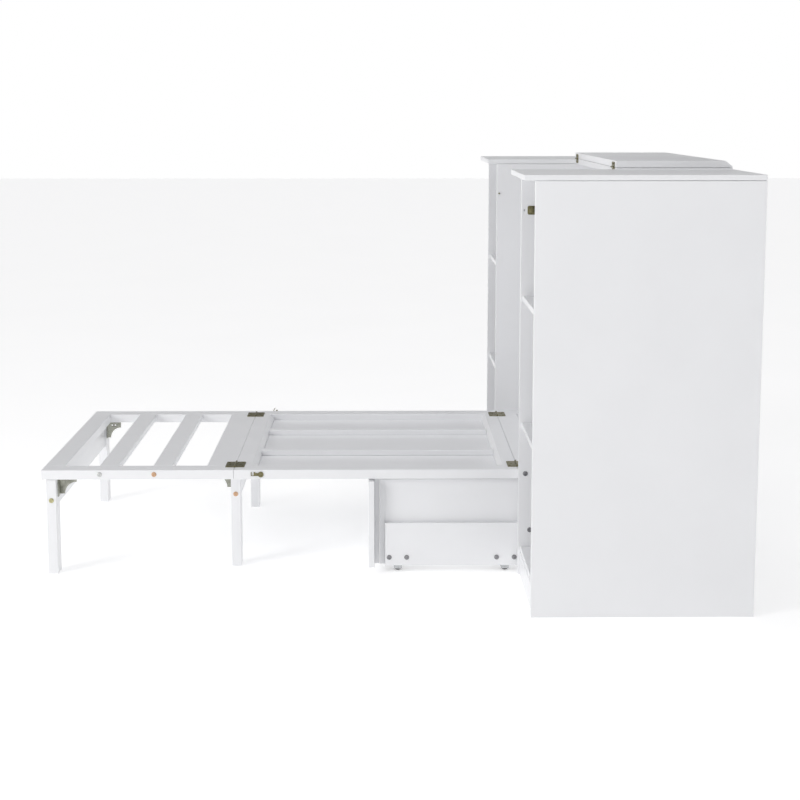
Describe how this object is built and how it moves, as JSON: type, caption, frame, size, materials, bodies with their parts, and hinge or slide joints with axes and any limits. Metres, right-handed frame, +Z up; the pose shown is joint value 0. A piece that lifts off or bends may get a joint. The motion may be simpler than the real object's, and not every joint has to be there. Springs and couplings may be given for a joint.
{
  "type": "murphy wall bed",
  "caption": "White folding cabinet bed with shelf units at both ends, a flip-back lid, a slatted frame folding down on hinged legs and a wheeled drawer under it.",
  "frame": {"origin": "on the floor, under the middle of the whole object's box as stored: bed down, drawer out, lid turned back", "axes": "+X from the foot of the bed to the back of the cabinet, +Y to the left side seen from the foot, +Z up"},
  "size_m": [1.923, 1.91, 1.1627],
  "materials": {
    "white_paint": "satin white paint on board and pine",
    "yellow_zinc": "dull yellow zinc plating",
    "plated_steel": "plated steel",
    "wheel_plastic": "grey moulded plastic"
  },
  "bodies": {
    "cabinet": {"right_outer_panel": "white_paint", "left_outer_panel": "white_paint", "right_inner_panel": "white_paint", "left_inner_panel": "white_paint", "right_shelves": "white_paint", "left_shelves": "white_paint", "right_top_board": "white_paint", "left_top_board": "white_paint", "toe_boards": "white_paint", "back_panels": "white_paint", "stretchers": "white_paint", "rear_top_board": "white_paint", "lid_hinge_fixed_leaves": "yellow_zinc", "fixed_side_rails": "white_paint", "fixed_cross_rails": "white_paint", "fixed_slats": "white_paint", "cabinet_fold_fixed_leaves": "yellow_zinc", "latch_keepers": "yellow_zinc", "drawer_guides": "white_paint", "cabinet_bolts": "plated_steel"},
    "lid": {"lid_board": "white_paint", "lid_hinge_leaves": "yellow_zinc"},
    "middle_section": {"right_middle_side_rail": "white_paint", "left_middle_side_rail": "white_paint", "middle_foot_side_rail": "white_paint", "middle_cabinet_side_rail": "white_paint", "middle_panel": "white_paint", "middle_ribs": "white_paint", "cabinet_fold_moving_leaves": "yellow_zinc", "foot_fold_fixed_leaves": "yellow_zinc", "hook_screws": "yellow_zinc"},
    "foot_section": {"right_foot_side_rail": "white_paint", "left_foot_side_rail": "white_paint", "foot_end_rail": "white_paint", "foot_fold_rail": "white_paint", "foot_slats": "white_paint", "foot_fold_moving_leaves": "yellow_zinc", "leg_rail_brackets": "yellow_zinc", "foot_rail_bolts": "plated_steel"},
    "foot_leg_pair": {"foot_legs": "white_paint", "foot_leg_board": "white_paint", "foot_leg_fittings": "yellow_zinc"},
    "inner_leg_pair": {"inner_legs": "white_paint", "inner_leg_board": "white_paint", "inner_leg_fittings": "yellow_zinc"},
    "right_hook": {"right_latch_hook": "yellow_zinc"},
    "left_hook": {"left_latch_hook": "yellow_zinc"},
    "drawer": {"drawer_front": "white_paint", "drawer_spacer": "white_paint", "drawer_box_front": "white_paint", "drawer_sides": "white_paint", "drawer_runner_boards": "white_paint", "drawer_back": "white_paint", "drawer_bottom": "white_paint", "wheel_brackets": "plated_steel", "drawer_bolts": "plated_steel"},
    "right_front_wheel_body": {"right_front_wheel": "wheel_plastic"},
    "left_front_wheel_body": {"left_front_wheel": "wheel_plastic"},
    "right_rear_wheel_body": {"right_rear_wheel": "wheel_plastic"},
    "left_rear_wheel_body": {"left_rear_wheel": "wheel_plastic"}
  },
  "joints": [
    {"name": "lid_hinge", "type": "hinge", "parent": "cabinet", "child": "lid", "pos_m": [0.6387, 0, 1.1445], "axis": [0, -1, 0], "range_deg": [0, 180]},
    {"name": "bed_fold", "type": "hinge", "parent": "cabinet", "child": "middle_section", "pos_m": [0.3825, 0, 0.3028], "axis": [0, 1, 0], "range_deg": [0, 90]},
    {"name": "foot_fold", "type": "hinge", "parent": "middle_section", "child": "foot_section", "pos_m": [-0.4195, 0, 0.3028], "axis": [0, 1, 0], "range_deg": [0, 180]},
    {"name": "foot_leg_fold", "type": "hinge", "parent": "foot_section", "child": "foot_leg_pair", "pos_m": [-0.9175, 0, 0.266], "axis": [0, -1, 0], "range_deg": [0, 90]},
    {"name": "inner_leg_fold", "type": "hinge", "parent": "foot_section", "child": "inner_leg_pair", "pos_m": [-0.4385, 0, 0.266], "axis": [0, 1, 0], "range_deg": [0, 90]},
    {"name": "right_hook_turn", "type": "hinge", "parent": "middle_section", "child": "right_hook", "pos_m": [-0.3435, -0.499, 0.287], "axis": [0, 1, 0], "range_deg": [-90, 90]},
    {"name": "left_hook_turn", "type": "hinge", "parent": "middle_section", "child": "left_hook", "pos_m": [-0.3435, 0.499, 0.287], "axis": [0, 1, 0], "range_deg": [-130, 50]},
    {"name": "drawer_slide", "type": "slide", "parent": "cabinet", "child": "drawer", "axis": [1, 0, 0], "range_m": [0, 0.404]},
    {"name": "right_front_wheel_spin", "type": "hinge", "parent": "drawer", "child": "right_front_wheel_body", "pos_m": [0.043, 0, 0.012], "axis": [0, 1, 0], "continuous": true},
    {"name": "left_front_wheel_spin", "type": "hinge", "parent": "drawer", "child": "left_front_wheel_body", "pos_m": [0.043, 0, 0.012], "axis": [0, 1, 0], "continuous": true},
    {"name": "right_rear_wheel_spin", "type": "hinge", "parent": "drawer", "child": "right_rear_wheel_body", "pos_m": [0.349, 0, 0.012], "axis": [0, 1, 0], "continuous": true},
    {"name": "left_rear_wheel_spin", "type": "hinge", "parent": "drawer", "child": "left_rear_wheel_body", "pos_m": [0.349, 0, 0.012], "axis": [0, 1, 0], "continuous": true}
  ],
  "couplings": [
    {"joint": "foot_fold", "follows": "bed_fold", "ratio": 2},
    {"joint": "foot_leg_fold", "follows": "bed_fold", "ratio": 1},
    {"joint": "inner_leg_fold", "follows": "bed_fold", "ratio": 1}
  ]
}
